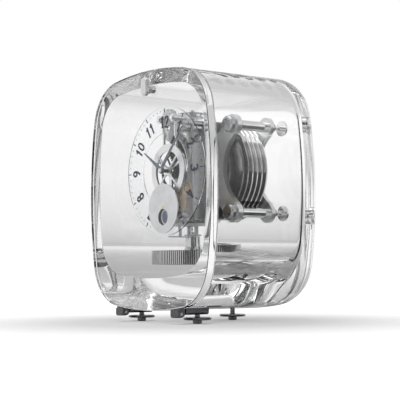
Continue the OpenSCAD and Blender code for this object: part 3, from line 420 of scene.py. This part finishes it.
def moon_lacquer_and_painted_shadow(name):
    """Moon disc: a blue field with a thin pale edge on black. The black crescent at the aperture's
    left is partly the disc's own dark and partly a painted shadow of the plate's edge.
    """
    m = Nodes(bpy.data.materials.new(name))
    _, radius = m.from_axis((MOON_X, 0, APERTURE_Z), "Y")
    blue = m.mix(m.noise(0.6, detail=3.0), rgba((0.13, 0.17, 0.3)), rgba((0.2, 0.24, 0.38)))
    edge = m.mix(m.span(radius, 0, 1, *MOON_FIELD), blue, rgba((0.85, 0.85, 0.86)))
    # Beyond the pale edge it is black: partly the disc's own dark, partly a painted shadow of the
    # plate's edge
    tone = m.mix(m.span(radius, 0, 1, *MOON_EDGE), edge, rgba((0.01, 0.01, 0.013)))
    return finished(m, m.add("BsdfPrincipled"), tone, 0.4, m.soft_edge(0.05))


def glass(name, tint, ior=1.52):
    """Clear glass that lets the lamps' light through."""
    m = Nodes(bpy.data.materials.new(name))
    bsdf = m.add("BsdfPrincipled", IOR=ior, Roughness=0.0, Transmission_Weight=1.0)
    low = tuple(c * 0.985 for c in tint)
    faint = m.span(m.noise(0.05, detail=2.0), 0, 1, 0.35, 0.65)
    m.put(bsdf, "Base Color", m.mix(faint, rgba(low), rgba(tint)))
    mixed = m.add("MixShader")
    m.put(mixed, 0, m.add("LightPath").outputs["Is Shadow Ray"])
    m.put(mixed, 1, bsdf)
    m.put(mixed, 2, m.add("BsdfTransparent", Color=grey(0.93)))
    return m.surface(mixed)


# Camera
YAW, PITCH, ROLL = math.radians(52.591), math.radians(-3.499), math.radians(-0.322)
CAMERA_AT = (0.97133, -0.74642, 0.05048)
LENS, SENSOR = 106.07, 36.0
forward = Vector(
    (-math.sin(YAW) * math.cos(PITCH), math.cos(YAW) * math.cos(PITCH), -math.sin(PITCH))
)
right = Vector((math.cos(YAW), math.sin(YAW), 0))
upward = right.cross(forward)
cam_x = right * math.cos(ROLL) + upward * math.sin(ROLL)
cam_y = upward * math.cos(ROLL) - right * math.sin(ROLL)
camera = bpy.data.objects.new("camera", bpy.data.cameras.new("camera"))
bpy.context.scene.collection.objects.link(camera)
camera.matrix_world = Matrix.Translation(CAMERA_AT) @ (
    Matrix((cam_x, cam_y, -forward)).transposed().to_4x4()
)
camera.data.sensor_width, camera.data.lens = SENSOR, LENS
camera.data.clip_start, camera.data.clip_end = 0.01, 50.0
bpy.context.scene.camera = camera
bpy.context.scene.view_settings.view_transform = "Standard"
cycles = bpy.context.scene.cycles
# A look through door, dial and cavity crosses many surfaces of glass
THROUGH, MIRRORED = 24, 16
cycles.max_bounces = cycles.transmission_bounces = cycles.transparent_max_bounces = THROUGH
cycles.glossy_bounces = MIRRORED

# Materials: colour, roughness, grain, bump and the radius of the softened edges in millimetres
UPRIGHT = (2.4, 2.4, 0.12)  # a brushed grain drawn out along Z
STEEL, PALE_STEEL = (0.8, 0.805, 0.815), (0.95, 0.955, 0.96)
CLEAR = (0.99, 0.99, 0.99)
polished = metal("polished_steel", STEEL, 0.14, 0.5, 0.01, 0.2)
satin = metal("satin_steel", (0.56, 0.565, 0.58), 0.3, UPRIGHT, 0.05, 0.15)
plate_metal = metal("brushed_plate", (0.36, 0.365, 0.375), 0.32, (3.0, 3.0, 0.1), 0.06, 0.15)
dark_metal = metal("dark_steel", (0.02, 0.021, 0.024), 0.3, 2.0, 0.04, 0.08)
rod_metal = metal("rod_steel", PALE_STEEL, 0.12, 0.5, 0.01, 0.2)
hub_metal = metal("hub_steel", (0.55, 0.555, 0.565), 0.1, 0.8, 0.02, 0.2)
bellows_plate_metal = metal("bellows_plate_steel", PALE_STEEL, 0.38, UPRIGHT, 0.05, 0.15)
knob_metal = metal("knob_steel", (0.95, 0.95, 0.955), 0.45, 0.8, 0.02, 0.3)
# painted reflection: the feet's steel is darker than the rest, standing in for the dark the feet
# mirror
foot_metal_painted_dark = metal("foot_steel", (0.2, 0.2, 0.21), 0.2, 0.8, 0.02, 0.2)
cap_metal = metal("cap_steel", (0.5, 0.505, 0.515), 0.2, 0.8, 0.02, 0.2)
gold = metal("gilt_brass", (0.86, 0.61, 0.26), 0.2, 1.5, 0.03, 0.08)
pale_gold = metal(
    "pale_gilt_brass", (1.0, 0.66, 0.28), 0.5, (0.9, 0.9, 0.3), 0.1, 0.08, 0.08, 0.12, metallic=0.1
)
hand_metal = painted("slate_lacquer", (0.13, 0.17, 0.23), 0.3, 0.08, 0.3, 0.12)
ink = painted("dial_ink", (0.004, 0.011, 0.06), 0.6, 0.12, 0.0, 0.04, ior=1.25)
white_ring = metal("silvered_ring", (0.97, 0.97, 0.98), 0.42, 2.0, 0.03, 0.12, tint=0.02)
bellows_metal = ribbed_painted_light("bellows_metal")
moon_metal = metal("moon_plate_metal", STEEL, 0.36, (3.0, 0.2, 0.15), 0.05, 0.2, tint=0.16)
balance_metal = fluted_painted_shade("balance_metal")
moon_blue = moon_lacquer_and_painted_shadow("moon_disc_lacquer_and_painted_shadow")
crystal = glass("crystal", CLEAR)
door_crystal = glass("door_crystal", CLEAR)
dial_glass = glass("dial_glass", (0.97, 0.985, 0.99), ior=1.49)

LOOKS = {
    knob_metal: "door_knob",
    polished: "rear_foot_bush hinge_pins door_catch plate_pillars plate_screws spacer_posts "
    "dial_posts dial_screws centre_arm moon_pegs hand_nut wheel_studs suspension_post "
    "regulator_disc",
    rod_metal: "frame_rods wall_studs rear_caps",
    hub_metal: "balance_hub",
    bellows_plate_metal: "bellows_front_plate bellows_rear_plate",
    foot_metal_painted_dark: "foot_bracket_left foot_bracket_right hinge_shoe_left hinge_shoe_right "
    "foot_front_left foot_front_right foot_rear_disc",
    satin: "movement_top_plate movement_bottom_plate bridge_plate guide_ring lock_lever "
    "pallet_lever torsion_wire barrel",
    cap_metal: "frame_caps frame_collars frame_nuts",
    plate_metal: "movement_front_plate movement_back_plate",
    dark_metal: "hour_wheel motion_wheel centre_wheel",
    gold: "third_wheel escape_wheel",
    pale_gold: "calendar_wheel",
    hand_metal: "minute_hand hour_hand",
    ink: "minute_track numerals",
    white_ring: "month_ring",
    bellows_metal: "bellows bellows_end",
    moon_metal: "moon_plate",
    moon_blue: "moon_disc",
    balance_metal: "balance_ring",
    dial_glass: "dial_ring",
}


def dress(ob, mat):
    if ob.data.materials:
        for i in range(len(ob.data.materials)):
            ob.data.materials[i] = mat
    else:
        ob.data.materials.append(mat)


for look, names in LOOKS.items():
    for node_name in names.split():
        dress(nodes[node_name], look)

# The dots and strokes of the minute track are drawn a little fuller than they are cut
FULLER = 0.16  # millimetres
fuller = nodes["minute_track"].modifiers.new("fuller", "DISPLACE")
fuller.strength, fuller.mid_level = FULLER * MM, 0.0

# Crystal case and door
outer = arcs(CASE_W / 2, CASE_H / 2, SIDE_BOW, TOP_BOW, CORNER_R)
inner = arcs(
    CASE_W / 2 - SIDE_WALL,
    (CAVITY_HI - CAVITY_LO) / 2,
    CAVITY_SIDE_BOW,
    CAVITY_TOP_BOW,
    CAVITY_R,
)


def case_ring(shape, inset, depth, middle):
    """The outline at a depth, moved inwards by inset, round a middle height."""
    return [pt(p.x, depth, middle + p.y) for p in outline(shape, inset)]


def edge_rings(shape, r, depth, middle, sign, n, first=0):
    """Rings round an edge, from the face at depth to the side.

    sign is 1 at a front face and -1 at a rear one. r is below 0 where the outline is a hole's.
    """
    return [
        case_ring(
            shape, r * (1 - math.sin(t)), depth + sign * abs(r) * (1 - math.cos(t)), middle
        )
        for t in quarter_turn(n, first)
    ]


def rear_rings(shape, r, back, middle, n):
    """Rings round a rear edge, from the side to the face at back."""
    return [
        case_ring(shape, r * (1 - math.cos(t)), back - r + r * math.sin(t), middle)
        for t in quarter_turn(n)
    ]


def wall_rings(shape, front, back, middle, n):
    """Rings along a straight wall, after the one at its front."""
    return [case_ring(shape, 0, front + (back - front) * i / n, middle) for i in range(1, n + 1)]


mouth = case_ring(inner, -LIP, CASE_FRONT, CAVITY_C)
outside = [mouth]
outside += edge_rings(outer, EDGE_R, CASE_FRONT, CASE_C, 1, EDGE_STEPS)
outside += wall_rings(outer, CASE_FRONT + EDGE_R, CASE_D - REAR_R, CASE_C, WALL_STEPS)
outside += rear_rings(outer, REAR_R, CASE_D, CASE_C, REAR_STEPS)
inside = [mouth]
inside += edge_rings(inner, -LIP, CASE_FRONT, CAVITY_C, 1, LIP_STEPS, first=1)
inside += wall_rings(
    inner, CASE_FRONT + LIP, CAVITY_BACK - CAVITY_BACK_R, CAVITY_C, WALL_STEPS
)
inside += rear_rings(inner, CAVITY_BACK_R, CAVITY_BACK, CAVITY_C, CAVITY_REAR_STEPS)
verts, faces = skin(outside, cap_last=True)
inner_verts, inner_faces = skin(inside, cap_last=True)
# Both skins start at the mouth, so the inner one takes its first ring from the outer one
mouth_n = len(mouth)
offset = len(verts) - mouth_n
faces += [tuple(i if i < mouth_n else offset + i for i in reversed(f)) for f in inner_faces]
case_piece = new_object("crystal_body", verts + inner_verts[mouth_n:], faces)
holes = []
for x in (-ROD_C, ROD_C):
    for z in (BELLOWS_Z - ROD_C, BELLOWS_Z + ROD_C):
        cap_floor = CASE_D - REAR_CAP_T
        holes.append(round_cutter(pt(x, cap_floor, z), pt(x, CASE_D + CUT, z), REAR_CAP_R + SEAT))
        holes.append(
            round_cutter(pt(x, CAVITY_BACK - CUT, z), pt(x, cap_floor + STUD_CUT, z), STUD_R + SEAT)
        )
holes.append(
    round_cutter(
        pt(0, BUSH_DEPTH, LIFT - CUT), pt(0, BUSH_DEPTH, LIFT + BUSH_H + SEAT), BUSH_R + SEAT
    )
)
cut_away(case_piece, holes)
dress(case_piece, crystal)
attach(case_piece, "case")
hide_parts("crystal_case")

rings = edge_rings(outer, EDGE_R, 0, CASE_C, 1, EDGE_STEPS)
rings += wall_rings(outer, EDGE_R, DOOR_T - EDGE_R, CASE_C, DOOR_STEPS)
rings += reversed(edge_rings(outer, EDGE_R, DOOR_T, CASE_C, -1, EDGE_STEPS)[:-1])
door_piece = new_object("door_pane", *skin(rings, True, True))
shank_bore = round_cutter(pt(0, -CUT, KNOB_Z), pt(0, DOOR_T + CUT, KNOB_Z), SHANK_R + SEAT)
cut_away(door_piece, [shank_bore])
dress(door_piece, door_crystal)
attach(door_piece, "door")
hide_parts("door_glass")

# Small pin of the moon plate: its profile as radius and depth, from the rim nearly to the middle
PIN_X, PIN_Z = -0.4, MOON_Z + 1.3
PIN_PROFILE = (
    (1.35, 24.45), (1.35, 24.1), (1.15, 23.95), (0.8, 23.95), (0.7, 24.2), (0.0001, 24.2)
)
PIN_STEPS = 32
rings = [
    [pt(r * math.cos(t) + PIN_X, depth, PIN_Z + r * math.sin(t)) for t in full_turn(PIN_STEPS)]
    for r, depth in PIN_PROFILE
]
pin = new_object("moon_pin", *skin(rings))
dress(pin, gold)
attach(pin, "case")

# Floor. Its glow grows with the distance from a centre, which makes a painted shadow round the
# clock. One glow is for the camera, the other for rays that come by way of the crystal or of metal.
# Each has its range and its reach in metres.
FLOOR_HALF = 1.6
PAINTED_SHADOW_CENTRE = (0.015, -0.02, 0.0)
DIRECT_GLOW, DIRECT_REACH = (0.28, 0.8), (0.12, 0.36)
BOUNCED_GLOW, BOUNCED_REACH = (0.0, 0.62), (0.09, 1.0)
floor_n = Nodes(bpy.data.materials.new("studio_floor"))
camera_ray, _, seen = floor_n.seen_by()
place = floor_n.space((MM, MM, MM), move=tuple(-c for c in PAINTED_SHADOW_CENTRE))
distance = floor_n.add("VectorMath", _operation="LENGTH")
floor_n.put(distance, 0, place)
# painted shadow: the floor glows less near the clock, for the camera and still less in reflections
direct = floor_n.span(distance.outputs["Value"], *DIRECT_GLOW, *DIRECT_REACH)
bounced = floor_n.span(distance.outputs["Value"], *BOUNCED_GLOW, *BOUNCED_REACH)
more = floor_n.math("SUBTRACT", direct, bounced)
strength = floor_n.math("MULTIPLY", seen, floor_n.math("MULTIPLY_ADD", camera_ray, more, bounced))
both = floor_n.add("AddShader")
floor_n.put(both, 0, floor_n.add("BsdfDiffuse", Color=grey(0.5)))
floor_n.put(both, 1, floor_n.add("Emission", Color=grey(1.0), Strength=strength))
floor = plane("floor", (0, 0, 0), (FLOOR_HALF, 0, 0), (0, FLOOR_HALF, 0))
dress(floor, floor_n.surface(both))

# World: white for the camera and dimmer for diffuse light. Seen through the crystal and in
# reflections it follows a ramp of grey over the upward share of the direction.
DIFFUSE_LEVEL = 0.5
HORIZON = (
    (-0.03, 0.62), (0.0, 0.58), (0.0135, 0.7), (0.024, 0.84), (0.039, 0.93), (0.0675, 1.04),
    (0.12, 1.08), (0.222, 1.05), (0.306, 0.8), (0.45, 0.7), (0.57, 0.6),
)
world_n = Nodes(bpy.data.worlds.new("studio"), "OutputWorld")
_, bent, seen = world_n.seen_by()
direction = world_n.add("SeparateXYZ")
world_n.put(direction, 0, world_n.add("TexCoord").outputs["Generated"])
sky = world_n.mix(bent, grey(1.0), world_n.ramp(direction.outputs[2], HORIZON))
level = world_n.span(seen, DIFFUSE_LEVEL, 1.0)
bpy.context.scene.world = world_n.surface(world_n.add("Background", Color=sky, Strength=level))

# Lamp
LAMP_AT, LAMP_AIM = Vector((-0.1, -0.2, 1.3)), Vector((0, 0, 0.1))
LAMP_SIDE, LAMP_WATTS = 1.2, 8.0
lamp = bpy.data.lights.new("softbox_top", "AREA")
lamp.shape, lamp.size, lamp.size_y = "RECTANGLE", LAMP_SIDE, LAMP_SIDE
lamp.energy = LAMP_WATTS
softbox = bpy.data.objects.new("softbox_top", lamp)
bpy.context.scene.collection.objects.link(softbox)
softbox.location = LAMP_AT
softbox.rotation_euler = (LAMP_AIM - LAMP_AT).to_track_quat("-Z", "Y").to_euler()


# Cards that the camera doesn't see: the crystal and the metal mirror them
def card_look(name, colour):
    m = Nodes(bpy.data.materials.new(name))
    return m.surface(m.add("Emission", Color=rgba(colour), Strength=1.0))


dark = card_look("dark_card", (0.02, 0.02, 0.022))
mid_grey = card_look("grey_card", (0.3, 0.3, 0.3))
# Name, centre, both half sides, whether it also shows through the crystal, and look
CARDS = (
    ("card_low", (1.0, 0.8, 0.003), (0.92, 0, 0), (0, 0.74, 0), True, dark),
    ("card_back", (0.45, 1.2, 0.3), (0.3, 0, 0), (0, 0, 0.6), True, dark),
    ("card_top", (0.1, 0.35, 1.0), (0.5, 0, 0), (0, 0.12, 0.05), True, dark),
    ("card_left", (-0.98, -0.75, 0.26), (0.25, 0, 0), (0, 0, 0.26), False, dark),
    ("card_right", (0.97, 0.75, 0.26), (0, 0.21, 0), (0, 0, 0.26), False, mid_grey),
    ("card_camera", (1.35, -1.05, 0.6), (0.5, 0.65, 0), (0, 0, 0.62), True, dark),
    ("card_side", (1.5, 0.1, 0.3), (0, 0.3, 0), (0, 0, 0.3), True, dark),
)
for name, centre, x_axis, y_axis, through, look in CARDS:
    card = plane(name, centre, x_axis, y_axis)
    dress(card, look)
    card.visible_camera = card.visible_diffuse = card.visible_shadow = False
    card.visible_transmission = through
